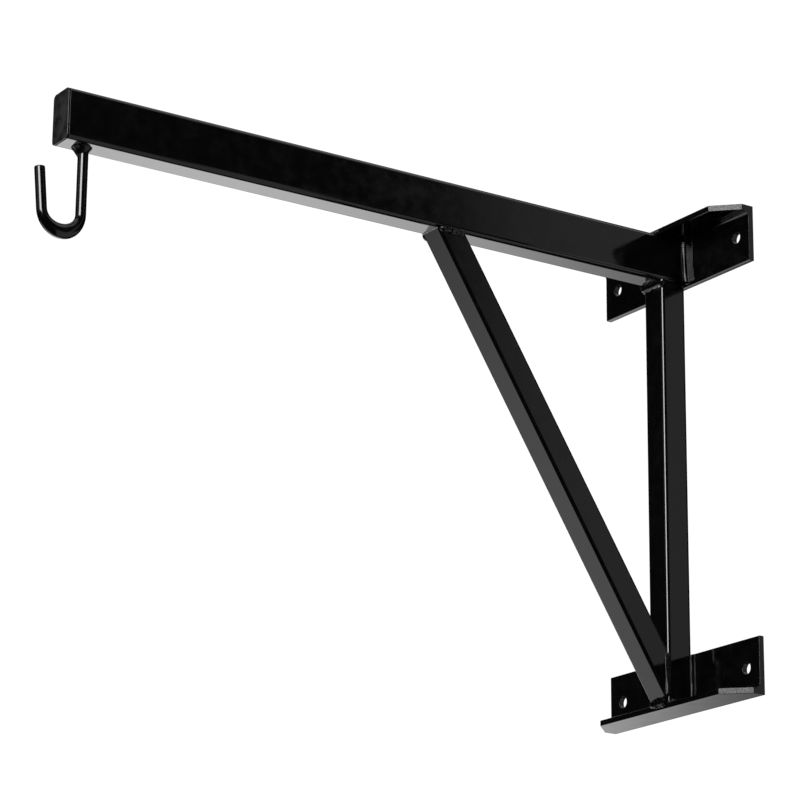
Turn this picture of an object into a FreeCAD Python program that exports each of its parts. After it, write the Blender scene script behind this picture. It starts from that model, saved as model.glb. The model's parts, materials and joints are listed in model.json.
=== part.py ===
"""Wall bracket for a hanging punch bag: a welded steel arm, brace and upright between two angle-iron feet.

Millimetres. The wall is the plane y = 0 and the arm reaches out along -Y. +Z is up, and X runs along
the wall. The origin is the centre of the four wall bolts, on the wall plane.
"""
import FreeCAD, Part
import math
import os

V = FreeCAD.Vector

# ---------------------------------------------------------------- driving dimensions
OVERALL_HEIGHT = 500.0
OVERALL_REACH = 720.0          # wall to the face of the end cap
FOOT_LENGTH = 236.0            # both angle-iron feet, along the wall

ANGLE_TALL_LEG = 58.0          # the leg that lies on the wall
ANGLE_SHORT_LEG = 38.0         # the leg that stands out from the wall
ANGLE_THICKNESS = 6.0
ANGLE_ROOT_RADIUS = 6.0
ANGLE_TOE_RADIUS = 1.2
CORNER_CUT = 24.0              # the front corners of the short leg are cut off at 45 degrees

BOLT_HOLE_RADIUS = 6.0
BOLT_FROM_END = 20.0
BOLT_FROM_EDGE = 29.0          # from the outer face of the short leg

ARM_HEIGHT = 50.0
ARM_WIDTH = 30.0
ARM_WALL = 3.0
ARM_CORNER = 4.5

UPRIGHT_SIDE = 30.0
UPRIGHT_WALL = 2.5
UPRIGHT_CORNER = 3.5

BRACE_SIDE = 28.0
BRACE_WALL = 2.5
BRACE_CORNER = 3.0
BRACE_HEAD_REACH = 311.5       # wall to where the brace's front face meets the arm
BRACE_TOE_LIFT = 2.0           # gap between the brace's toe and the lower foot, which the weld fills

CAP_FLANGE = 2.2
CAP_SKIRT_LENGTH = 18.0
CAP_SKIRT_WALL = 2.0
CAP_SKIRT_GAP = 1.2            # skirt to the inside of the arm
CAP_FIN_GAP = 0.1              # fin tips to the inside of the arm
CAP_FIN_THICKNESS = 1.2
CAP_FIN_PITCH = 5.0
CAP_FIN_COUNT = 3
CAP_EDGE_ROUND = 0.8

HOOK_BAR_RADIUS = 5.0
HOOK_REACH = 695.0             # wall to the centre of the shank
HOOK_DROP = 65.6               # arm underside to the centre of the bend
HOOK_BEND_RADIUS = 20.0
HOOK_BELLY_DEPTH = 7.2         # half the bar's depth at the bottom of the bend, in the plane of the hook
HOOK_BELLY_WIDTH = 5.9         # half the bar's width there
HOOK_FLARE_DEG = 5.4           # the tip leans away from the wall
HOOK_TIP_LENGTH = 39.8
HOOK_TIP_CHAMFER = 1.2
HOOK_SECTIONS = 13
HOOK_COLLAR_RADIUS = 11.5
HOOK_COLLAR_HEIGHT = 7.5

FOOT_WELD = 6.0                # radius of the beads that run up the feet
BRACE_SIDE_WELD = 4.5
UPRIGHT_BASE_WELD = 4.5
BRACE_HEAD_WELD = 3.5
BRACE_TOE_WELD = 5.0
BRACE_TOE_WELD_RUN = 16.0
UPRIGHT_HEAD_WELD = 9.0
FLANGE_WELD = 5.0
SEAM_SHARE = 0.65              # how much of a level seam the bead's straight run covers

SAME = 1e-3                    # lengths and directions closer than this count as the same

# ---------------------------------------------------------------- places worked out from them
TOP = OVERALL_HEIGHT / 2
BOTTOM = -TOP
ARM_TOP = TOP - ANGLE_THICKNESS
ARM_UNDERSIDE = ARM_TOP - ARM_HEIGHT
ARM_CENTRE = ARM_TOP - ARM_HEIGHT / 2
SEAT = BOTTOM + ANGLE_THICKNESS            # top of the lower foot's short leg
ARM_END = -(OVERALL_REACH - CAP_FLANGE)
UPRIGHT_BACK = -ANGLE_THICKNESS
UPRIGHT_FRONT = UPRIGHT_BACK - UPRIGHT_SIDE
BRACE_TOE = SEAT + BRACE_TOE_LIFT
LARGE = 2000.0                             # larger than the bracket, for trimming


def save(node, shape):
    """Writes one node's solids to its own STEP file."""
    if not shape.isValid():
        raise ValueError(node + " is not a valid shape")
    os.makedirs("parts", exist_ok=True)
    shape.exportStep("parts/" + node + ".step")


def rounded_bar(width, depth, corner, length):
    """A solid bar from z = 0 to length, centred on the Z axis, its long edges rounded."""
    box = Part.makeBox(width, depth, length, V(-width / 2, -depth / 2, 0))
    long_edges = [edge for edge in box.Edges if abs(edge.tangentAt(edge.FirstParameter).z) > 1 - SAME]
    return box.makeFillet(corner, long_edges)


def tube_and_outline(width, depth, corner, wall, length):
    """A box-section tube along Z, and the same bar without its hollow."""
    outline = rounded_bar(width, depth, corner, length)
    hollow = rounded_bar(width - 2 * wall, depth - 2 * wall, corner - wall / 2, length)
    return outline.cut(hollow), outline


def place(shape, position, axis, degrees):
    """The shape turned about the origin, then moved."""
    turned = shape.copy()
    turned.Placement = FreeCAD.Placement(position, FreeCAD.Rotation(axis, degrees))
    return turned


def angle_foot():
    """The upper foot: short leg on top, tall leg down the wall, drilled, with its front corners cut off."""
    half = FOOT_LENGTH / 2
    corners = [
        (0, 0),
        (0, -ANGLE_TALL_LEG),
        (-ANGLE_THICKNESS, -ANGLE_TALL_LEG),
        (-ANGLE_THICKNESS, -ANGLE_THICKNESS),
        (-ANGLE_SHORT_LEG, -ANGLE_THICKNESS),
        (-ANGLE_SHORT_LEG, 0),
    ]
    points = [V(-half, y, TOP + z) for y, z in corners]
    profile = Part.Face(Part.makePolygon(points + points[:1]))
    foot = profile.extrude(V(FOOT_LENGTH, 0, 0))
    foot = round_long_edge(foot, corners[3], ANGLE_ROOT_RADIUS)
    foot = round_long_edge(foot, corners[2], ANGLE_TOE_RADIUS)
    foot = round_long_edge(foot, corners[4], ANGLE_TOE_RADIUS)
    for side in (-1, 1):
        cut = [
            V(side * half, -ANGLE_SHORT_LEG, 0),
            V(side * (half - CORNER_CUT), -ANGLE_SHORT_LEG, 0),
            V(side * half, CORNER_CUT - ANGLE_SHORT_LEG, 0),
        ]
        wedge = Part.Face(Part.makePolygon(cut + cut[:1])).extrude(V(0, 0, LARGE))
        foot = foot.cut(wedge)
        hole_centre = V(side * (half - BOLT_FROM_END), -2 * ANGLE_THICKNESS, TOP - BOLT_FROM_EDGE)
        hole = Part.makeCylinder(BOLT_HOLE_RADIUS, 3 * ANGLE_THICKNESS, hole_centre, V(0, 1, 0))
        foot = foot.cut(hole)
    return foot


def round_long_edge(foot, corner, radius):
    """Rounds the edge of the foot that runs along the wall through one corner of its profile."""
    y, z = corner
    for edge in foot.Edges:
        middle = edge.CenterOfMass
        if middle.distanceToPoint(V(0, y, TOP + z)) < SAME:
            return foot.makeFillet(radius, [edge])
    raise ValueError("the foot has no edge at that corner")


def relief(height, direction):
    """A wedge that takes the end of a tube clear of the rounded root inside a foot."""
    leg = ANGLE_ROOT_RADIUS
    corner = V(-LARGE / 2, -ANGLE_THICKNESS, height)
    points = [corner, corner + V(0, -leg, 0), corner + V(0, 0, direction * leg)]
    return Part.Face(Part.makePolygon(points + points[:1])).extrude(V(LARGE, 0, 0))


def arm():
    """The arm, lying along Y under the upper foot's short leg."""
    length = -ANGLE_THICKNESS - ARM_END
    parts = tube_and_outline(ARM_WIDTH, ARM_HEIGHT, ARM_CORNER, ARM_WALL, length)
    end = V(0, -ANGLE_THICKNESS, ARM_CENTRE)
    return [place(part, end, V(1, 0, 0), 90).cut(relief(ARM_TOP, -1)) for part in parts]


def upright():
    """The upright, standing on the lower foot against the wall leg, up to the arm."""
    parts = tube_and_outline(UPRIGHT_SIDE, UPRIGHT_SIDE, UPRIGHT_CORNER, UPRIGHT_WALL, ARM_UNDERSIDE - SEAT)
    foot = V(0, UPRIGHT_BACK - UPRIGHT_SIDE / 2, SEAT)
    return [part.translated(foot).cut(relief(SEAT, 1)) for part in parts]


def brace_direction():
    """Unit vector up the brace, from its toe on the upright to its head under the arm."""
    toe = V(0, UPRIGHT_FRONT, BRACE_TOE)
    head = V(0, -BRACE_HEAD_REACH, ARM_UNDERSIDE)
    return (head - toe).normalize()


def brace():
    """The brace, cut off flat under the arm and upright against the upright's front."""
    along = brace_direction()
    inward = V(0, along.z, -along.y)                    # from its front face towards its back face
    start = V(0, UPRIGHT_FRONT, BRACE_TOE) + inward * (BRACE_SIDE / 2) - along * BRACE_SIDE * 2
    lean = math.degrees(math.atan2(-along.y, along.z))
    parts = tube_and_outline(BRACE_SIDE, BRACE_SIDE, BRACE_CORNER, BRACE_WALL, LARGE / 2)
    room = Part.makeBox(LARGE, LARGE, LARGE, V(-LARGE / 2, UPRIGHT_FRONT - LARGE, ARM_UNDERSIDE - LARGE))
    return [place(part, start, V(1, 0, 0), lean).common(room) for part in parts]


def end_cap():
    """The push-in cap: a flange over the arm's end, and a skirt inside it with springy fins."""
    flange = rounded_bar(ARM_WIDTH, ARM_HEIGHT, ARM_CORNER, CAP_FLANGE)
    rim = [edge for edge in flange.Edges if abs(edge.CenterOfMass.z - CAP_FLANGE) < SAME]
    cap = flange.makeFillet(CAP_EDGE_ROUND, rim)
    inside = (ARM_WIDTH - 2 * ARM_WALL, ARM_HEIGHT - 2 * ARM_WALL)
    inside_corner = ARM_CORNER - ARM_WALL / 2

    def collar(gap, length):
        width, height = (size - 2 * gap for size in inside)
        return rounded_bar(width, height, inside_corner, length)

    skirt = collar(CAP_SKIRT_GAP, CAP_SKIRT_LENGTH)
    skirt.translate(V(0, 0, -CAP_SKIRT_LENGTH))
    cap = cap.fuse(skirt)
    for number in range(CAP_FIN_COUNT):
        fin = collar(CAP_FIN_GAP, CAP_FIN_THICKNESS)
        fin.translate(V(0, 0, -CAP_FIN_PITCH * (number + 1)))
        cap = cap.fuse(fin)
    hollow = collar(CAP_SKIRT_GAP + CAP_SKIRT_WALL, CAP_SKIRT_LENGTH)
    hollow.translate(V(0, 0, -CAP_SKIRT_LENGTH))
    return place(cap.cut(hollow).removeSplitter(), V(0, ARM_END, ARM_CENTRE), V(1, 0, 0), 90)


def oval(centre, radial, depth, width):
    """A closed oval across the hook's bar: depth in the plane of the hook, width across it."""
    across = V(width, 0, 0)
    radial = radial * depth
    stretch = FreeCAD.Matrix(
        radial.x, across.x, 0, centre.x,
        radial.y, across.y, radial.z, centre.y,
        radial.z, across.z, radial.y, centre.z,
    )
    return Part.Wire(Part.makeCircle(1).transformGeometry(stretch).Edges)


def bag_hook():
    """The hook: a straight shank, a bend that is thickest at its belly, and a flared tip."""
    centre = V(0, -HOOK_REACH - HOOK_BEND_RADIUS, ARM_UNDERSIDE - HOOK_DROP)
    sweep = math.pi - math.radians(HOOK_FLARE_DEG)
    sections = []
    for number in range(HOOK_SECTIONS):
        share = number / (HOOK_SECTIONS - 1)
        turn = sweep * share
        radial = V(0, math.cos(turn), -math.sin(turn))
        along = V(0, -math.sin(turn), -math.cos(turn))
        swell = math.sin(math.pi * share) ** 2
        depth = HOOK_BAR_RADIUS + (HOOK_BELLY_DEPTH - HOOK_BAR_RADIUS) * swell
        width = HOOK_BAR_RADIUS + (HOOK_BELLY_WIDTH - HOOK_BAR_RADIUS) * swell
        spot = centre + radial * HOOK_BEND_RADIUS
        sections.append(oval(spot, radial, depth, width))
    bend = Part.makeLoft(sections, True, False)
    shank = Part.makeCylinder(HOOK_BAR_RADIUS, HOOK_DROP, V(0, -HOOK_REACH, ARM_UNDERSIDE - HOOK_DROP))
    tip = Part.makeCylinder(HOOK_BAR_RADIUS, HOOK_TIP_LENGTH, spot, along)
    end = spot + along * HOOK_TIP_LENGTH
    rim = [edge for edge in tip.Edges if edge.CenterOfMass.distanceToPoint(end) < SAME]
    tip = tip.makeChamfer(HOOK_TIP_CHAMFER, rim)
    return shank.fuse([bend, tip]).removeSplitter().Solids[0]


def weld(seam, leg, clear_of):
    """A rounded weld bead along an inside corner, trimmed back to the pieces that it joins."""
    start, end = seam
    run = end - start
    bead = Part.makeCylinder(leg, run.Length, start, run)
    bead = bead.fuse([Part.makeSphere(leg, start), Part.makeSphere(leg, end)])
    for piece in clear_of:
        bead = bead.cut(piece)
    return max(bead.removeSplitter().Solids, key=lambda solid: solid.Volume)


def hook_collar(clear_of):
    """The ring of weld round the top of the hook's shank."""
    top = V(0, -HOOK_REACH, ARM_UNDERSIDE)
    ring = Part.makeCone(HOOK_COLLAR_RADIUS, HOOK_BAR_RADIUS, HOOK_COLLAR_HEIGHT, top, V(0, 0, -1))
    for piece in clear_of:
        ring = ring.cut(piece)
    return ring.Solids[0]


def front_seam(y, z, width):
    """The two ends of a seam across the front of a tube."""
    return [V(-width / 2, y, z), V(width / 2, y, z)]


def rising_seam(x, y, low, high, margin):
    """The two ends of an upright seam, kept a margin inside the heights it lies between."""
    return [V(x, y, low + margin), V(x, y, high - margin)]


def level_seam(x, z, front, back):
    """The two ends of a seam that runs towards the wall, over the middle share of its length."""
    margin = (1 - SEAM_SHARE) / 2 * (back - front)
    return [V(x, front + margin, z), V(x, back - margin, z)]


def main():
    upper_angle = angle_foot()
    lower_angle = upper_angle.mirror(V(0, 0, 0), V(0, 0, 1))
    arm_tube, arm_bar = arm()
    upright_tube, upright_bar = upright()
    brace_tube, brace_bar = brace()
    hook = bag_hook()
    save("upper_angle", upper_angle)
    save("lower_angle", lower_angle)
    save("arm_tube", arm_tube)
    save("upright_tube", upright_tube)
    save("brace_tube", brace_tube)
    save("arm_end_cap", end_cap())
    save("bag_hook", hook)

    flat_width = ARM_WIDTH - 2 * ARM_CORNER
    lip = front_seam(-ANGLE_SHORT_LEG, ARM_TOP, flat_width)
    under_upright = front_seam(UPRIGHT_FRONT, ARM_UNDERSIDE, flat_width)
    under_brace = front_seam(-BRACE_HEAD_REACH, ARM_UNDERSIDE, flat_width)
    at_toe = front_seam(-ANGLE_SHORT_LEG, BRACE_TOE, BRACE_TOE_WELD_RUN)
    head_weld = weld(under_brace, BRACE_HEAD_WELD, [arm_bar, brace_bar])
    toe_weld = weld(at_toe, BRACE_TOE_WELD, [brace_bar, upright_bar, lower_angle])
    save("hook_weld", hook_collar([hook, arm_bar]))
    save("arm_flange_weld", weld(lip, FLANGE_WELD, [arm_bar, upper_angle]))
    save("upright_head_weld", weld(under_upright, UPRIGHT_HEAD_WELD, [arm_bar, upright_bar]))
    save("brace_head_weld", head_weld)
    save("brace_toe_weld", toe_weld)

    brace_head_back = BRACE_SIDE / brace_direction().z - BRACE_HEAD_REACH
    brace_foot_top = BRACE_TOE + BRACE_SIDE / -brace_direction().y
    leg_top = BOTTOM + ANGLE_TALL_LEG
    for side, hand in ((-1, "left"), (1, "right")):
        tube_side = side * ARM_WIDTH / 2
        brace_side = side * BRACE_SIDE / 2
        by_arm = rising_seam(tube_side, -ANGLE_THICKNESS, ARM_UNDERSIDE, ARM_TOP, FOOT_WELD)
        by_upright = rising_seam(tube_side, -ANGLE_THICKNESS, SEAT, leg_top, FOOT_WELD)
        by_brace = rising_seam(brace_side, UPRIGHT_FRONT, BRACE_TOE, brace_foot_top, 2 * BRACE_SIDE_WELD)
        under_arm = level_seam(brace_side, ARM_UNDERSIDE, -BRACE_HEAD_REACH, brace_head_back)
        on_foot = level_seam(tube_side, SEAT, UPRIGHT_FRONT, UPRIGHT_BACK)
        foot_weld = weld(by_upright, FOOT_WELD, [upright_bar, lower_angle])
        base_weld = weld(on_foot, UPRIGHT_BASE_WELD, [upright_bar, lower_angle, foot_weld, toe_weld])
        save("arm_foot_weld_" + hand, weld(by_arm, FOOT_WELD, [arm_bar, upper_angle]))
        save("upright_foot_weld_" + hand, foot_weld)
        save("upright_base_weld_" + hand, base_weld)
        save("brace_foot_weld_" + hand, weld(by_brace, BRACE_SIDE_WELD, [upright_bar, brace_bar, toe_weld]))
        save("brace_head_weld_" + hand, weld(under_arm, BRACE_SIDE_WELD, [arm_bar, brace_bar, head_weld]))


main()
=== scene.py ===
"""The looks of a punch bag's wall bracket: gloss black paint, rippled weld beads and a plastic end cap.

Metres, in the bracket's own frame: the wall is the plane y = 0, the arm reaches along -Y, and +Z is up.
"""

import json
import math

import bmesh
import bpy
from mathutils import Matrix, Vector, noise


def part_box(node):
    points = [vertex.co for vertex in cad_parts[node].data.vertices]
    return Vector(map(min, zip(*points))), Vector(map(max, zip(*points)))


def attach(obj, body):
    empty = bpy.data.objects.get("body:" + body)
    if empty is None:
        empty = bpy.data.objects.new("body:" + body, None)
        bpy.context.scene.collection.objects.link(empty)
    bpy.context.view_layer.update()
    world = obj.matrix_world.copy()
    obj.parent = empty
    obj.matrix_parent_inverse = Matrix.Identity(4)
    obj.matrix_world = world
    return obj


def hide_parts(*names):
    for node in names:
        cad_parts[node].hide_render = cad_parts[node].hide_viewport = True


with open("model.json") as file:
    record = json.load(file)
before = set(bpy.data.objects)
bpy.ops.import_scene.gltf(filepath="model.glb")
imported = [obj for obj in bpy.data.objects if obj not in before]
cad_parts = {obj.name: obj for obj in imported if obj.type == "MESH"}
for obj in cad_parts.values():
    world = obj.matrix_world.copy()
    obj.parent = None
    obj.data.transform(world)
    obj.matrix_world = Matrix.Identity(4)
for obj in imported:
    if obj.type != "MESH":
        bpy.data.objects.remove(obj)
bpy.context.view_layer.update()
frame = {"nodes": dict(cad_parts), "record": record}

MM = 0.001
V = Vector

# ---------------------------------------------------------------- the camera and the room
CAMERA_AIM = V((0.0483, -0.3769, -0.0034))
CAMERA_DISTANCE = 3.027
CAMERA_AZIMUTH = 56.53         # degrees from the front, towards +X
CAMERA_ELEVATION = -17.25      # it looks up at the bracket
CAMERA_ROLL = 0.50
CAMERA_LENS = 145.28
SENSOR = 36.0

FLOOR_HEIGHT = -2.5            # the bracket is mounted high
FLOOR_SIDE = 14.0
FLOOR_MOTTLE = {"Scale": 3.0, "Detail": 4.0}
FLOOR_STEP = (0.3, 0.7)
FLOOR_GREY = (0.84, 0.88)
FLOOR_ROUGHNESS = 0.9

# Soft-edged panels round the bracket, which the gloss paint reflects: azimuths and elevations in degrees.
PANELS = {
    "backdrop": dict(azimuth=(234.2, 280), elevation=(-60, -7), edge=(13, 8), strength=2.8),
    "floor_in_front": dict(azimuth=(286, 322), elevation=(-70, -18), edge=(12, 12), strength=1.12),
    "floor_beside": dict(azimuth=(100, 188), elevation=(-80, -9), edge=(10, 14), strength=0.45),
    "side_wall": dict(azimuth=(125, 134), elevation=(-12, 50), edge=(2.6, 12), strength=0.38),
    "far_corner": dict(azimuth=(334, 372), elevation=(4, 45), edge=(16, 16), strength=0.40),
    "upper_wall": dict(azimuth=(236, 262), elevation=(14, 45), edge=(10, 10), strength=0.5),
    "rear_wall": dict(azimuth=(128, 200), elevation=(38, 58), edge=(10, 8), strength=0.6),
    "ceiling": dict(azimuth=(-400, 800), elevation=(54, 100), edge=(10, 14), strength=0.75),
}
AZIMUTH_START = 60.0           # azimuths run from here to here + 360, so only the ceiling may cross it
ROOM_GLOW = 0.015
BACKDROP_SEEN = 1.05           # the plain white that the camera sees behind the bracket

SOFTBOX_AT = V((1.10, -1.86, 0.66))
SOFTBOX_SIZE = (0.97, 0.85)
SOFTBOX_POWER = 40.7
OVERHEAD_HEIGHT = 3.2
OVERHEAD_TILT = 89.0           # one degree off straight down, so that its sideways direction is defined
OVERHEAD_SIDE = 4.0
OVERHEAD_POWER = 520.0


def toward(azimuth, elevation):
    """Unit vector from the bracket at an azimuth from the front (-Y) towards +X, and an elevation."""
    a, e = math.radians(azimuth), math.radians(elevation)
    return V((math.sin(a) * math.cos(e), -math.cos(a) * math.cos(e), math.sin(e)))


def aimed(back, roll=0.0):
    """Rotation of a camera or light whose back points along a direction."""
    right = V((0, 0, 1)).cross(back).normalized()
    up = back.cross(right)
    turn = Matrix((right, up, back)).transposed()
    return (turn @ Matrix.Rotation(math.radians(roll), 3, "Z")).to_quaternion()


def link(thing):
    """Puts a new object into the scene."""
    bpy.context.scene.collection.objects.link(thing)
    return thing


def make_camera():
    """A long lens, low and off to the right, that looks up at the bracket."""
    data = bpy.data.cameras.new("camera")
    data.lens = CAMERA_LENS
    data.sensor_width = SENSOR
    camera = link(bpy.data.objects.new("camera", data))
    back = toward(CAMERA_AZIMUTH, CAMERA_ELEVATION)
    camera.location = CAMERA_AIM + back * CAMERA_DISTANCE
    camera.rotation_mode = "QUATERNION"
    camera.rotation_quaternion = aimed(back, CAMERA_ROLL)
    bpy.context.scene.camera = camera


class Nodes:
    """Short names for building a node tree."""

    def __init__(self, tree):
        self.tree = tree

    def new(self, kind, inputs=None, **settings):
        node = self.tree.nodes.new(kind)
        for name, value in settings.items():
            setattr(node, name, value)
        for name, value in (inputs or {}).items():
            self.put(node, name, value)
        return node

    def put(self, node, name, value):
        if isinstance(value, bpy.types.NodeSocket):
            self.tree.links.new(value, node.inputs[name])
        else:
            node.inputs[name].default_value = value

    def math(self, operation, *values):
        node = self.new("ShaderNodeMath", operation=operation)
        for number, value in enumerate(values):
            self.put(node, number, value)
        return node.outputs[0]

    def ramp(self, value, low, high, to_low=0.0, to_high=1.0):
        """A smooth step from to_low to to_high as value goes from low to high."""
        node = self.new("ShaderNodeMapRange", interpolation_type="SMOOTHSTEP")
        for name, number in (("Value", value), ("From Min", low), ("From Max", high),
                             ("To Min", to_low), ("To Max", to_high)):
            self.put(node, name, number)
        return node.outputs["Result"]

    def noise(self, place, scale, detail, roughness):
        inputs = {"Vector": place, "Scale": scale, "Detail": detail, "Roughness": roughness}
        return self.new("ShaderNodeTexNoise", inputs).outputs["Fac"]


def within(nodes, value, limits, edge):
    """One between two limits, and falling to nothing over an edge on each side."""
    low, high = limits
    rise = nodes.ramp(value, low - edge / 2, low + edge / 2)
    fall = nodes.ramp(value, high - edge / 2, high + edge / 2, 1.0, 0.0)
    return nodes.math("MULTIPLY", rise, fall)


def make_room():
    """A white room to look at, whose panels light the bracket and show in its paint."""
    world = bpy.data.worlds.new("studio")
    bpy.context.scene.world = world
    world.use_nodes = True
    tree = world.node_tree
    tree.nodes.clear()
    nodes = Nodes(tree)
    direction = nodes.new("ShaderNodeTexCoord").outputs["Generated"]
    axes = nodes.new("ShaderNodeSeparateXYZ", {0: direction}).outputs
    turn = nodes.math("DEGREES", nodes.math("ARCTAN2", axes["X"], nodes.math("MULTIPLY", axes["Y"], -1.0)))
    azimuth = nodes.math("MODULO", nodes.math("ADD", turn, 360.0 - AZIMUTH_START), 360.0)
    azimuth = nodes.math("ADD", azimuth, AZIMUTH_START)
    elevation = nodes.math("DEGREES", nodes.math("ARCSINE", axes["Z"]))
    total = ROOM_GLOW
    for panel in PANELS.values():
        across = within(nodes, azimuth, panel["azimuth"], panel["edge"][0])
        upward = within(nodes, elevation, panel["elevation"], panel["edge"][1])
        share = nodes.math("MULTIPLY", across, upward)
        total = nodes.math("MULTIPLY_ADD", share, panel["strength"], total)
    seen = nodes.new("ShaderNodeLightPath").outputs["Is Camera Ray"]
    total = nodes.math("MULTIPLY_ADD", seen, nodes.math("SUBTRACT", BACKDROP_SEEN, total), total)
    background = nodes.new("ShaderNodeBackground", {"Color": (1, 1, 1, 1), "Strength": total})
    output = nodes.new("ShaderNodeOutputWorld")
    tree.links.new(background.outputs[0], output.inputs["Surface"])


def soft_light(name, power, size, place, back):
    """A rectangular light that the camera can't see, facing away from the direction of its back."""
    data = bpy.data.lights.new(name, "AREA")
    data.shape = "RECTANGLE"
    data.size, data.size_y = size
    data.energy = power
    light = link(bpy.data.objects.new(name, data))
    light.location = place
    light.rotation_mode = "QUATERNION"
    light.rotation_quaternion = aimed(back)
    light.visible_camera = False
    return light


def make_lights():
    """The softbox draws the bright line down each rounded corner, and the overhead light is for the floor."""
    soft_light("softbox", SOFTBOX_POWER, SOFTBOX_SIZE, SOFTBOX_AT, (SOFTBOX_AT - CAMERA_AIM).normalized())
    above = V((CAMERA_AIM.x, CAMERA_AIM.y, OVERHEAD_HEIGHT))
    size = (OVERHEAD_SIDE, OVERHEAD_SIDE)
    overhead = soft_light("overhead", OVERHEAD_POWER, size, above, toward(0.0, OVERHEAD_TILT))
    overhead.visible_glossy = False


def make_floor():
    """A plain pale floor, left out of the paint's reflections."""
    half = FLOOR_SIDE / 2
    mesh = bpy.data.meshes.new("floor")
    corners = [(x, y, FLOOR_HEIGHT) for x, y in ((-half, -half), (half, -half), (half, half), (-half, half))]
    mesh.from_pydata(corners, [], [(0, 1, 2, 3)])
    floor = link(bpy.data.objects.new("floor", mesh))
    material, nodes, shader = new_material("floor_pale")
    mottle = nodes.new("ShaderNodeTexNoise", FLOOR_MOTTLE).outputs["Fac"]
    nodes.put(shader, "Base Color", nodes.ramp(mottle, *FLOOR_STEP, *FLOOR_GREY))
    shader.inputs["Roughness"].default_value = FLOOR_ROUGHNESS
    mesh.materials.append(material)
    floor.visible_glossy = False


# ---------------------------------------------------------------- materials
# A pattern is a noise: its scale per metre, its detail and its roughness. A step is the range of a pattern's
# values over which a grey or a roughness goes from the first of its two values to the second, or an effect
# goes from nothing to full.
PEEL = (700.0, 2.0, 0.5)       # the paint's fine orange peel
WAVE = (38.0, 1.0, 0.5)        # the slow waviness of the steel under it
DRAWN = (900.0, 2.0, 0.5)      # faint lines along the arm
DRAWN_STRETCH = (1.0, 0.04, 0.6)
FILM = (90.0, 5.0, 0.5)        # patches where the paint is duller
SMUDGE = (26.0, 6.0, 0.62)
PITS = (1100.0, 4.0, 0.7)      # grit in the paint
TORN = (800.0, 5.0, 0.7)       # the torn grain of a cut corner

PEEL_HEIGHT = 0.30             # heights are shares of the bump's depth
WAVE_HEIGHT = 0.9
DRAWN_HEIGHT = 0.15
PITS_HEIGHT = 0.35
TORN_HEIGHT = 1.4
PAINT_BUMP = {"Strength": 0.35, "Distance": 0.1 * MM}
PAINT_IOR = 1.5

PAINT_ROUGHNESS_STEP = (0.35, 0.75)
PAINT_ROUGHNESS = (0.07, 0.12)
PAINT_GREY_STEP = (0.3, 0.8)
PAINT_GREY = (0.0006, 0.0016)
SMUDGE_STEP = (0.47, 0.75)
SMUDGE_ROUGHNESS = 0.11        # what a full smudge adds
SMUDGE_GREY = 0.002
PITS_STEP = (0.4, 0.7)
PITS_ROUGHNESS = 0.12
CUT_STEP = (0.44, 0.48)        # of the normal's x times its y, which is 0.5 on a corner cut at 45 degrees
SCUFF_ROUGHNESS_STEP = (0.35, 0.7)
SCUFF_ROUGHNESS = (0.22, 0.42)
# Painted sheen on the cut faces: the colour follows the torn grain's speckle, and its paleness stands in for
# the rough cut glittering in the softbox's light.
CUT_GREY_AND_SHEEN_STEP = (0.44, 0.66)
CUT_GREY_AND_SHEEN = (0.004, 0.13)

CAP_GRAIN = (1500.0, 3.0, 0.5)
CAP_CLOUD = (75.0, 4.0, 0.5)
CAP_CLOUD_STEP = (0.35, 0.65)
CAP_GREY = (0.005, 0.017)
CAP_ROUGHNESS = (0.26, 0.36)
CAP_BUMP = {"Strength": 0.4, "Distance": 0.05 * MM}


def new_material(name):
    """An empty material, with the builder of its node tree and its shader."""
    material = bpy.data.materials.new(name)
    material.use_nodes = True
    shader = material.node_tree.nodes["Principled BSDF"]
    return material, Nodes(material.node_tree), shader


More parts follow.
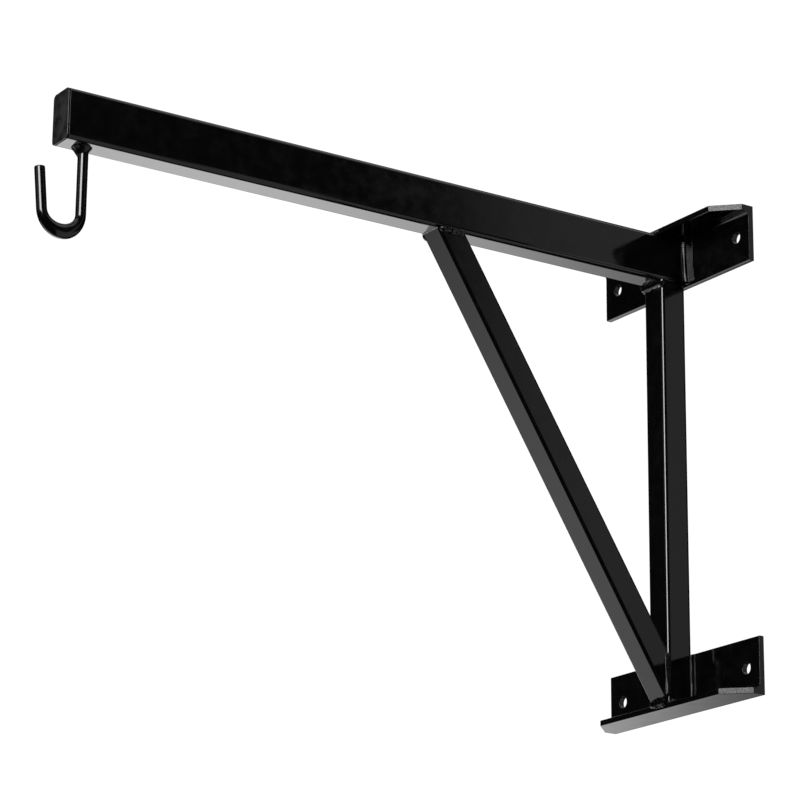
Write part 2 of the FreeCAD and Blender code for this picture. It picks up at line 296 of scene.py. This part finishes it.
def paint(name, rough_cuts=False, smudges=0.0, grit=0.0, grain=1.0, dull=0.0):
    """Gloss black paint with orange peel, a slow waviness and dull patches.

    Smudges, grit and scuffed corner cuts are there only where asked; the corner cuts also carry a painted
    sheen, a paler colour along their torn grain. Grain scales the orange peel and the drawn lines, and dull
    is added to the roughness everywhere.
    """
    material, nodes, shader = new_material(name)
    place = nodes.new("ShaderNodeTexCoord").outputs["Object"]
    stretched = nodes.new("ShaderNodeMapping", {"Vector": place, "Scale": DRAWN_STRETCH}).outputs[0]
    peel = nodes.noise(place, *PEEL)
    wave = nodes.noise(place, *WAVE)
    drawn = nodes.noise(stretched, *DRAWN)
    film = nodes.noise(place, *FILM)
    smooth, rough = PAINT_ROUGHNESS
    roughness = nodes.ramp(film, *PAINT_ROUGHNESS_STEP, smooth + dull, rough + dull)
    height = nodes.math("MULTIPLY", peel, PEEL_HEIGHT * grain)
    height = nodes.math("MULTIPLY_ADD", wave, WAVE_HEIGHT, height)
    height = nodes.math("MULTIPLY_ADD", drawn, DRAWN_HEIGHT * grain, height)
    colour = nodes.ramp(film, *PAINT_GREY_STEP, *PAINT_GREY)
    if smudges:
        cloud = nodes.ramp(nodes.noise(place, *SMUDGE), *SMUDGE_STEP)
        roughness = nodes.math("MULTIPLY_ADD", cloud, SMUDGE_ROUGHNESS * smudges, roughness)
        colour = nodes.math("MULTIPLY_ADD", cloud, SMUDGE_GREY * smudges, colour)
    if grit:
        pits = nodes.noise(place, *PITS)
        height = nodes.math("MULTIPLY_ADD", pits, PITS_HEIGHT * grit, height)
        dusty = nodes.ramp(pits, *PITS_STEP)
        roughness = nodes.math("MULTIPLY_ADD", dusty, PITS_ROUGHNESS * grit, roughness)
    if rough_cuts:
        geometry = nodes.new("ShaderNodeNewGeometry")
        normal = nodes.new("ShaderNodeSeparateXYZ", {0: geometry.outputs["True Normal"]})
        slant = nodes.math("ABSOLUTE", nodes.math("MULTIPLY", normal.outputs["X"], normal.outputs["Y"]))
        cut = nodes.ramp(slant, *CUT_STEP)
        torn = nodes.noise(place, *TORN)
        scuff = nodes.ramp(torn, *SCUFF_ROUGHNESS_STEP, *SCUFF_ROUGHNESS)
        roughness = nodes.math("MULTIPLY_ADD", cut, scuff, roughness)
        height = nodes.math("MULTIPLY_ADD", nodes.math("MULTIPLY", cut, torn), TORN_HEIGHT, height)
        # painted sheen: the cut faces turn paler along their torn grain, in place of the rough cut's glitter
        # in the softbox
        pale_and_sheen = nodes.ramp(torn, *CUT_GREY_AND_SHEEN_STEP, *CUT_GREY_AND_SHEEN)
        colour = nodes.math("MULTIPLY_ADD", cut, pale_and_sheen, colour)
    bump = nodes.new("ShaderNodeBump", {**PAINT_BUMP, "Height": height})
    nodes.put(shader, "Base Color", colour)
    nodes.put(shader, "Roughness", roughness)
    nodes.put(shader, "Normal", bump.outputs["Normal"])
    shader.inputs["IOR"].default_value = PAINT_IOR
    return material


def cap_plastic():
    """Moulded black plastic with a fine grain, paler and duller in cloudy patches."""
    material, nodes, shader = new_material("cap_plastic_grained")
    place = nodes.new("ShaderNodeTexCoord").outputs["Object"]
    grain = nodes.noise(place, *CAP_GRAIN)
    cloud = nodes.noise(place, *CAP_CLOUD)
    bump = nodes.new("ShaderNodeBump", {**CAP_BUMP, "Height": grain})
    nodes.put(shader, "Base Color", nodes.ramp(cloud, *CAP_CLOUD_STEP, *CAP_GREY))
    nodes.put(shader, "Roughness", nodes.ramp(cloud, *CAP_CLOUD_STEP, *CAP_ROUGHNESS))
    nodes.put(shader, "Normal", bump.outputs["Normal"])
    return material


# ---------------------------------------------------------------- shapes
ROUND_STEPS = 6                # facets to a quarter circle on a small rounding
SLOT_OF = {part["node"]: part["material_slot"] for part in frame["record"]["subparts"]}
MATERIALS = {
    "black_paint": paint("gloss_black_paint", smudges=0.55),
    "painted_weld": paint("gloss_black_weld", grit=0.2),
    "cap_plastic": cap_plastic(),
}
HOOK_PAINT = paint("gloss_black_hook", grain=0.1, dull=0.04)
FOOT_PAINT = paint("gloss_black_foot", rough_cuts=True, smudges=1.0)


def piece(name, mesh, node, material=None):
    """Puts a finished mesh on the bracket in place of a CAD node."""
    mesh.materials.clear()
    mesh.materials.append(material or MATERIALS[SLOT_OF[node]])
    shape = link(bpy.data.objects.new(name, mesh))
    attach(shape, "root")
    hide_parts(node)
    return shape


def loft(name, rings, closed=False):
    """A smooth skin over rings of points; its ends are capped unless the rings run round in a loop."""
    form = bmesh.new()
    rows = [[form.verts.new(point) for point in ring] for ring in rings]
    pairs = list(zip(rows, rows[1:]))
    if closed:
        pairs.append((rows[-1], rows[0]))
    for one, two in pairs:
        for number in range(len(one)):
            after = (number + 1) % len(one)
            form.faces.new((one[number], one[after], two[after], two[number]))
    ends = [] if closed else [form.faces.new(reversed(rows[0])), form.faces.new(rows[-1])]
    bmesh.ops.recalc_face_normals(form, faces=form.faces)
    for face in form.faces:
        face.smooth = face not in ends
    mesh = bpy.data.meshes.new(name)
    form.to_mesh(mesh)
    form.free()
    return mesh


# ---------------------------------------------------------------- tubes and angles with softened edges
FOOT_EDGE_ROUND = 0.6 * MM
ARM_END_ROUND = 0.2 * MM
EDGE_SEGMENTS = 3
CIRCULAR = 0.5                 # the bevel profile of a quarter circle
SHARP_ANGLE = math.radians(32)         # an edge that turns further than this is worn round
FLAT_ANGLE = math.radians(0.5)         # faces that turn less than this become one
SAME_PLACE = 0.002 * MM
FLAT_FACE_WEIGHT = 100         # full: the large faces shade flat and the rounding takes all the turn


def softened(node, name, width, chosen=lambda edge: True, material=None):
    """A copy of a CAD piece whose chosen sharp edges are worn round, as real steel's are under paint."""
    form = bmesh.new()
    form.from_mesh(frame["nodes"][node].data)
    bmesh.ops.remove_doubles(form, verts=form.verts, dist=SAME_PLACE)
    bmesh.ops.dissolve_limit(form, angle_limit=FLAT_ANGLE, verts=form.verts, edges=form.edges)
    folded = [edge for edge in form.edges if len(edge.link_faces) == 2]
    sharp = [edge for edge in folded if edge.calc_face_angle() > SHARP_ANGLE and chosen(edge)]
    bmesh.ops.bevel(form, geom=sharp, offset=width, offset_type="OFFSET", segments=EDGE_SEGMENTS,
                    profile=CIRCULAR, affect="EDGES", clamp_overlap=True)
    for face in form.faces:
        face.smooth = True
    mesh = bpy.data.meshes.new(name)
    form.to_mesh(mesh)
    form.free()
    shape = piece(name, mesh, node, material)
    weighted = shape.modifiers.new("flat_faces", "WEIGHTED_NORMAL")
    weighted.weight = FLAT_FACE_WEIGHT
    return shape


def make_steel():
    """The two feet with worn edges, and the arm with a rounded rim at its free end."""
    softened("upper_angle", "upper_foot", FOOT_EDGE_ROUND, material=FOOT_PAINT)
    softened("lower_angle", "lower_foot", FOOT_EDGE_ROUND, material=FOOT_PAINT)
    free_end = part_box("arm_tube")[0].y

    def at_free_end(edge):
        return all(abs(corner.co.y - free_end) < SAME_PLACE for corner in edge.verts)

    softened("arm_tube", "arm", ARM_END_ROUND, at_free_end)


# ---------------------------------------------------------------- the bag hook
HOOK_BAR = 5.0 * MM            # the bar's radius
HOOK_BEND = 20.0 * MM          # the bend's radius, to the bar's middle
HOOK_BELLY_DEPTH = 7.2 * MM    # half the bar's depth at the bottom of the bend, in the plane of the hook
HOOK_BELLY_WIDTH = 5.9 * MM
HOOK_FLARE = math.radians(5.4)         # how far the tip leans away from the shank
HOOK_TIP = 39.8 * MM           # the straight tip's length
HOOK_TIP_ROUND = 1.3 * MM
HOOK_BEND_STEPS = 72
HOOK_STRAIGHT_STEPS = 24
HOOK_POINTS = 64


def hook_ring(spot, radial, depth, width):
    """One ring round the hook's bar: depth in the plane of the hook, width across it."""
    ring = []
    for number in range(HOOK_POINTS):
        turn = 2 * math.pi * number / HOOK_POINTS
        ring.append(spot + radial * depth * math.cos(turn) + V((width * math.sin(turn), 0, 0)))
    return ring


def make_hook():
    """A straight shank, a bend that is thickest at its belly, and a flared tip with a worn rim."""
    low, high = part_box("bag_hook")
    shank = high.y - HOOK_BAR
    bend = V((0, shank - HOOK_BEND, low.z + HOOK_BELLY_DEPTH + HOOK_BEND))
    rings = []
    for number in range(HOOK_STRAIGHT_STEPS):
        height = high.z + (bend.z - high.z) * number / HOOK_STRAIGHT_STEPS
        rings.append(hook_ring(V((0, shank, height)), V((0, 1, 0)), HOOK_BAR, HOOK_BAR))
    for number in range(HOOK_BEND_STEPS + 1):
        share = number / HOOK_BEND_STEPS
        turn = (math.pi - HOOK_FLARE) * share
        radial = V((0, math.cos(turn), -math.sin(turn)))
        along = V((0, -math.sin(turn), -math.cos(turn)))
        swell = math.sin(math.pi * share) ** 2
        depth = HOOK_BAR + (HOOK_BELLY_DEPTH - HOOK_BAR) * swell
        width = HOOK_BAR + (HOOK_BELLY_WIDTH - HOOK_BAR) * swell
        spot = bend + radial * HOOK_BEND
        rings.append(hook_ring(spot, radial, depth, width))
    # The tip runs straight on from the bend's last ring, whose spot, radial and along it keeps.
    for number in range(1, HOOK_STRAIGHT_STEPS):
        reach = (HOOK_TIP - HOOK_TIP_ROUND) * number / HOOK_STRAIGHT_STEPS
        rings.append(hook_ring(spot + along * reach, radial, HOOK_BAR, HOOK_BAR))
    for number in range(ROUND_STEPS + 1):
        turn = math.pi / 2 * number / ROUND_STEPS
        radius = HOOK_BAR - HOOK_TIP_ROUND * (1 - math.cos(turn))
        reach = HOOK_TIP - HOOK_TIP_ROUND * (1 - math.sin(turn))
        rings.append(hook_ring(spot + along * reach, radial, radius, radius))
    piece("j_hook", loft("j_hook", rings), "bag_hook", HOOK_PAINT)


# ---------------------------------------------------------------- the arm's end cap
TUBE_CORNER = 4.5 * MM
TUBE_WALL = 3.0 * MM
CORNER_STEPS = 8
FLANGE = 2.2 * MM
FLANGE_FRONT_ROUND = 0.5 * MM
FLANGE_BACK_ROUND = 0.1 * MM
GROOVE = 1.3 * MM              # the dark line between the flange and the arm's end
GROOVE_DEPTH = 1.4 * MM
FACE_CROWN = 0.25 * MM         # how far the face's middle stands out from its edge
FACE_RINGS = 6
SKIRT_GAP = 1.2 * MM
SKIRT_WALL = 2.0 * MM
SKIRT_LENGTH = 18.0 * MM
FIN_GAP = 0.1 * MM
FIN_THICKNESS = 1.2 * MM
FIN_PITCH = 5.0 * MM
FIN_COUNT = 3
LEAST_CORNER = 0.3 * MM


def rounded_rectangle(centre, width, height, corner):
    """Points round a rounded rectangle that faces along the arm."""
    ring = []
    for quarter, (side, rise) in enumerate(((1, 1), (-1, 1), (-1, -1), (1, -1))):
        for step in range(CORNER_STEPS + 1):
            turn = math.pi / 2 * (quarter + step / CORNER_STEPS)
            x = side * (width / 2 - corner) + corner * math.cos(turn)
            z = rise * (height / 2 - corner) + corner * math.sin(turn)
            ring.append(centre + V((x, 0, z)))
    return ring


def rounding(radius, from_turn, to_turn):
    """Inset and depth round a quarter circle, from its own centre."""
    turns = [from_turn + (to_turn - from_turn) * step / ROUND_STEPS for step in range(ROUND_STEPS + 1)]
    return [(radius * (1 - math.cos(turn)), radius * math.sin(turn)) for turn in turns]


def cap_profile():
    """Insets from the arm's outside and depths behind the face, from the skirt's hollow round to the face."""
    outside = TUBE_WALL + SKIRT_GAP
    inside = outside + SKIRT_WALL
    end = FLANGE + SKIRT_LENGTH
    profile = [(inside, FLANGE), (inside, end), (outside, end)]
    for number in range(FIN_COUNT, 0, -1):
        fin = FLANGE + FIN_PITCH * number
        tip = TUBE_WALL + FIN_GAP
        profile += [(outside, fin), (tip, fin), (tip, fin - FIN_THICKNESS), (outside, fin - FIN_THICKNESS)]
    back = FLANGE - GROOVE
    profile += [(outside, FLANGE), (GROOVE_DEPTH, FLANGE), (GROOVE_DEPTH, back)]
    back -= FLANGE_BACK_ROUND
    profile += [(inset, back + depth) for inset, depth in rounding(FLANGE_BACK_ROUND, math.pi / 2, 0)]
    front = FACE_CROWN + FLANGE_FRONT_ROUND
    profile += [(inset, front - depth) for inset, depth in rounding(FLANGE_FRONT_ROUND, 0, math.pi / 2)]
    return profile


def make_cap():
    """A flange with soft edges and a faintly crowned face, over a hollow skirt with springy fins."""
    cap_low, cap_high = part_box("arm_end_cap")
    width, height = cap_high.x - cap_low.x, cap_high.z - cap_low.z
    face = V((0, cap_low.y, (cap_low.z + cap_high.z) / 2))
    rings = []
    for inset, depth in cap_profile():
        centre = face + V((0, depth, 0))
        corner = max(LEAST_CORNER, TUBE_CORNER - inset)
        rings.append(rounded_rectangle(centre, width - 2 * inset, height - 2 * inset, corner))
    edge = rings[-1]
    # The face's rings shrink towards its middle and come forward as they do.
    for step in range(1, FACE_RINGS):
        share = step / FACE_RINGS
        centre = face + V((0, FACE_CROWN * (1 - share * (2 - share)), 0))
        rings.append([centre + V(((point.x - face.x) * (1 - share), 0, (point.z - face.z) * (1 - share)))
                      for point in edge])
    piece("end_cap", loft("end_cap", rings), "arm_end_cap")


# ---------------------------------------------------------------- weld beads
ROUND, FLAT, HOLLOW = 0.1, 1.0, 1.3        # how full a bead's face is, from bulging to concave
BEAD_PITCH = 2.3 * MM          # from one ripple to the next
BEAD_RIPPLE = 0.16             # how far a ripple stands up, as a share of the bead's size
BEAD_WANDER = 0.20             # how unevenly the bead was laid
RIPPLE_BOW = 0.55              # how far a ripple's crescent bends along the bead, in pitches
BEAD_STEPS = 9                 # rings to a ripple
BEAD_ARC = 14                  # points over a bead's face
BEAD_ROOT = 0.6 * MM           # how deep the bead's root sinks into the joint
NOTCH = 2.0 * MM               # how far the upright's beads sit in behind its rounded back corners
BEAD_TIP = 0.05                # the smallest ring at a bead's end, as a share of its size

# A bead's wander is a part that differs from ripple to ripple and a part that drifts slowly along it. The
# other numbers say how far apart in the noise two ripples, or two beads, are taken from.
UNLIKE_SHARE = 0.5
UNLIKE_PER_RIPPLE = 1.7
UNLIKE_PER_SEED = 9.1
UNLIKE_DEPTH = 0.5             # between the noise's whole numbers, where it is always nothing
DRIFT_SHARE = 0.9
DRIFT_SCALE = 120.0            # per metre along the bead
DRIFT_ACROSS = 1.3             # over the bead's face
DRIFT_PER_SEED = 3.7

COLLAR_SEED = 5
COLLAR_LUMPS = 0.5
COLLAR_REACH = 6.0 * MM
COLLAR_DROP = 1.5              # the collar's height, as a share of its reach
COLLAR_CROWN = 1.1
COLLAR_WING = math.radians(236)        # its wing points between the arm's free end and the left
COLLAR_EVEN = 0.80             # the share of its reach that it has all round
COLLAR_WIDER = 0.25            # what the wing adds, and its other side lacks
COLLAR_UNEVEN = 0.06           # what its lobes add
COLLAR_LOBES = 3
COLLAR_LOBES_TURN = 1.0        # radians

ARM_FOOT_CURL = 3.0 * MM       # how far the beads beside the arm curl away from it at their low ends
CURL_SHARPNESS = 4             # the power that keeps the curl to the low end
BRACE_TOE_DROP = 1.0 * MM      # how far the toe's weld starts below the brace's lowest point
BRACE_FOOT_LEAN = 0.45         # how far the brace's side beads lean back round the upright's corner

# How each run of weld was laid; bead says what the words mean.
RUNS = {
    "arm_flange": dict(seed=11, size=5.0 * MM),
    "upright_head": dict(seed=12, size=6.8 * MM, wide=0.6, lumps=0.8, pitch=9.0 * MM),
    "brace_head": dict(seed=13, size=0.8 * MM),
    "brace_toe": dict(seed=14, size=4.6 * MM, lumps=1.6, pitch=4.5 * MM),
    "arm_foot": dict(seed=0, size=4.8 * MM, lumps=0.5),
    "arm_foot_wash": dict(seed=5, size=2.1 * MM, wide=6.8, lumps=0.5, crown=HOLLOW, run="wash"),
    "upright_foot": dict(seed=1, size=2.0 * MM, lumps=1.5),
    "upright_foot_wash": dict(seed=6, size=0.45 * MM, wide=16.0, lumps=0.6, run="wash"),
    "brace_foot": dict(seed=2, size=3.4 * MM, lumps=1.2),
    "upright_base": dict(seed=3, size=4.2 * MM, crown=FLAT),
    "brace_head_side": dict(seed=4, size=4.4 * MM, lumps=1.7, pitch=5.2 * MM),
}
LEFT, RIGHT = V((-1, 0, 0)), V((1, 0, 0))
OUT, UP, DOWN = V((0, -1, 0)), V((0, 0, 1)), V((0, 0, -1))
HANDS = (("left", LEFT, 20), ("right", RIGHT, 30))     # the last number is added to a run's seed


def ripple(along, lean, seed, pitch):
    """A bead's height at a distance along it: stacked crescents, each a little different from the next."""
    phase = along / pitch - RIPPLE_BOW * lean
    crest = math.sqrt(max(0.0, 1.0 - (2.0 * (phase % 1.0) - 1.0) ** 2))
    unlike = noise.noise(V((math.floor(phase) * UNLIKE_PER_RIPPLE, seed * UNLIKE_PER_SEED, UNLIKE_DEPTH)))
    drift = noise.noise(V((along * DRIFT_SCALE, lean * DRIFT_ACROSS, seed * DRIFT_PER_SEED)))
    return BEAD_RIPPLE * (crest - 1.0) + BEAD_WANDER * (UNLIKE_SHARE * unlike + DRIFT_SHARE * drift)


def bead_ring(corner, side_a, side_b, size, along, seed, lumps, pitch, crown):
    """One ring of a bead in an inside corner between two surfaces."""
    root = (side_a.normalized() + side_b.normalized()) * min(BEAD_ROOT, size / 2)
    ring = [corner - root]
    for number in range(BEAD_ARC + 1):
        turn = math.pi / 2 * number / BEAD_ARC
        a, b = math.cos(turn), math.sin(turn)
        reach = size * (1.0 - crown + crown / (a + b))
        height = 1.0 + lumps * ripple(along, math.sin(2 * turn), seed, pitch)
        ring.append(corner + (side_a * a + side_b * b) * reach * height)
    return ring


def bead(node, axis, corner, side_a, side_b, seed, size, wide=1.0, lumps=1.0, pitch=BEAD_PITCH, crown=ROUND,
         hand_seed=0, curl=V((0, 0, 0)), run="bead"):
    """A straight bead over the length of its CAD node, domed at both ends.

    It reaches its size up both surfaces, and wide stretches it over the first. The seeds pick its wander,
    lumps scales its ripples and its wander, and pitch is from one ripple to the next. Its low end curls away.
    """
    low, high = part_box(node)
    start, length = low[axis], high[axis] - low[axis]
    steps = round(length / pitch * BEAD_STEPS)
    rings = []
    for number in range(steps + 1):
        share = number / steps
        along = share * length
        from_end = min(along, length - along) / size
        taper = math.sqrt(max(0.0, 1.0 - (1.0 - min(1.0, from_end)) ** 2))
        spot = corner + curl * (1 - share) ** CURL_SHARPNESS
        spot[axis] = start + along
        reach = size * max(BEAD_TIP, taper)
        rings.append(bead_ring(spot, side_a * wide, side_b, reach, along, seed + hand_seed,
                               lumps, pitch, crown))
    name = node + "_" + run
    piece(name, loft(name, rings), node)


def make_ring_bead():
    """The weld round the top of the hook, laid by hand, so it is wider on one side and uneven."""
    low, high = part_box("bag_hook")
    centre = V((0, high.y - HOOK_BAR, high.z))
    ripples = round(2 * math.pi * (HOOK_BAR + COLLAR_REACH / 2) / BEAD_PITCH)
    count = ripples * BEAD_STEPS
    rings = []
    for number in range(count):
        turn = 2 * math.pi * number / count
        out = V((math.cos(turn), math.sin(turn), 0))
        wing = COLLAR_WIDER * math.cos(turn - COLLAR_WING)
        lobes = COLLAR_UNEVEN * math.cos(COLLAR_LOBES * turn + COLLAR_LOBES_TURN)
        reach = COLLAR_REACH * (COLLAR_EVEN + wing + lobes)
        along = number / BEAD_STEPS * BEAD_PITCH
        rings.append(bead_ring(centre + out * HOOK_BAR, out, DOWN * COLLAR_DROP, reach, along, COLLAR_SEED,
                               COLLAR_LUMPS, BEAD_PITCH, COLLAR_CROWN))
    piece("hook_weld_bead", loft("hook_weld_bead", rings, closed=True), "hook_weld")


def make_beads():
    """Every straight bead, in the inside corner where its two pieces meet."""
    arm_low, arm_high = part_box("arm_tube")
    upright_low, upright_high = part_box("upright_tube")
    brace_low, brace_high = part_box("brace_tube")
    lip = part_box("upper_angle")[0].y
    up_brace = V((0, brace_low.y - brace_high.y, brace_high.z - brace_low.z)).normalized()
    x, y, z = range(3)
    over_lip = V((0, lip, arm_high.z))
    before_upright = V((0, upright_low.y, arm_low.z))
    before_brace = V((0, brace_low.y, arm_low.z))
    toe = V((0, lip, brace_low.z - BRACE_TOE_DROP))
    bead("arm_flange_weld", x, over_lip, OUT, UP, **RUNS["arm_flange"])
    bead("upright_head_weld", x, before_upright, OUT, DOWN, **RUNS["upright_head"])
    bead("brace_head_weld", x, before_brace, OUT, -up_brace, **RUNS["brace_head"])
    bead("brace_toe_weld", x, toe, up_brace, DOWN, **RUNS["brace_toe"])
    for hand, side, hand_seed in HANDS:
        at_arm = V((arm_high.x * side.x, arm_high.y, 0))
        at_upright = V((upright_high.x * side.x, upright_high.y, 0)) - side * NOTCH
        at_brace = V((brace_high.x * side.x, upright_low.y, 0))
        on_foot = V((upright_high.x * side.x, 0, upright_low.z))
        under_arm = V((brace_high.x * side.x, 0, arm_low.z))
        round_upright = (side - OUT * BRACE_FOOT_LEAN).normalized()
        curl = side * ARM_FOOT_CURL
        runs = {name: dict(run, hand_seed=hand_seed) for name, run in RUNS.items()}
        bead("arm_foot_weld_" + hand, z, at_arm, side, OUT, curl=curl, **runs["arm_foot"])
        bead("arm_foot_weld_" + hand, z, at_arm, side, OUT, curl=curl, **runs["arm_foot_wash"])
        bead("upright_foot_weld_" + hand, z, at_upright, side, OUT, **runs["upright_foot"])
        bead("upright_foot_weld_" + hand, z, at_upright, side, OUT, **runs["upright_foot_wash"])
        bead("brace_foot_weld_" + hand, z, at_brace, round_upright, OUT, **runs["brace_foot"])
        bead("upright_base_weld_" + hand, y, on_foot, side, UP, **runs["upright_base"])
        bead("brace_head_weld_" + hand, y, under_arm, side, DOWN, **runs["brace_head_side"])


def paint_plain_tubes():
    """The upright and the brace stay as they are in the CAD model, and only take the paint."""
    for node in ("upright_tube", "brace_tube"):
        skin = frame["nodes"][node].data.materials
        skin.clear()
        skin.append(MATERIALS[SLOT_OF[node]])


make_camera()
make_room()
make_lights()
make_floor()
make_steel()
make_hook()
make_cap()
make_ring_bead()
make_beads()
paint_plain_tubes()

bpy.context.scene.view_settings.view_transform = "Standard"
